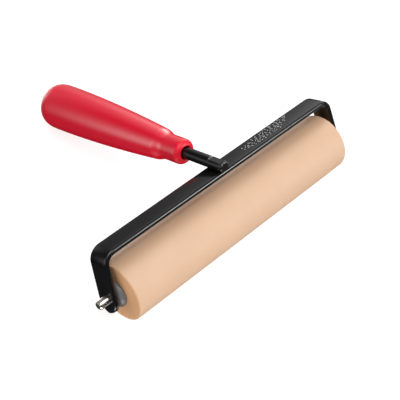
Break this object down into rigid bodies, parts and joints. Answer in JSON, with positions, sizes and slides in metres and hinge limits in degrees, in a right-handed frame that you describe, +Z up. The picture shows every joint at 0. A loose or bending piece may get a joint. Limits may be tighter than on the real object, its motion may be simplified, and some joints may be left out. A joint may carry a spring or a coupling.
{
  "type": "rubber brayer",
  "caption": "Hand brayer: a rubber-covered roller turning in a bent steel strip yoke, with a steel rod and a tapered plastic grip.",
  "frame": {"origin": "middle of the bottom of the bounding box, on the bench that the roller and the butt of the grip stand on", "axes": "+X along the roller's axis, +Y from the roller towards the butt of the grip, +Z up from the bench"},
  "size_m": [0.175, 0.1558, 0.0467],
  "materials": {
    "yoke_black": "satin to gloss black stove enamel",
    "rod_black": "gloss black enamel",
    "grip_red": "glossy moulded red plastic",
    "sleeve_tan": "ground gum rubber, matt",
    "core_steel": "drawn tube",
    "hub_grey": "moulded grey plastic",
    "axle_nickel": "bright nickel plate"
  },
  "bodies": {
    "frame": {"yoke": "yoke_black", "handle_rod": "rod_black", "grip": "grip_red"},
    "roller": {"rubber_sleeve": "sleeve_tan", "roller_core": "core_steel", "hub_left": "hub_grey", "hub_right": "hub_grey", "axle": "axle_nickel"}
  },
  "joints": [
    {"name": "roller_spin", "type": "hinge", "parent": "frame", "child": "roller", "pos_m": [0, -0.06198, 0.01588], "axis": [1, 0, 0], "continuous": true}
  ]
}
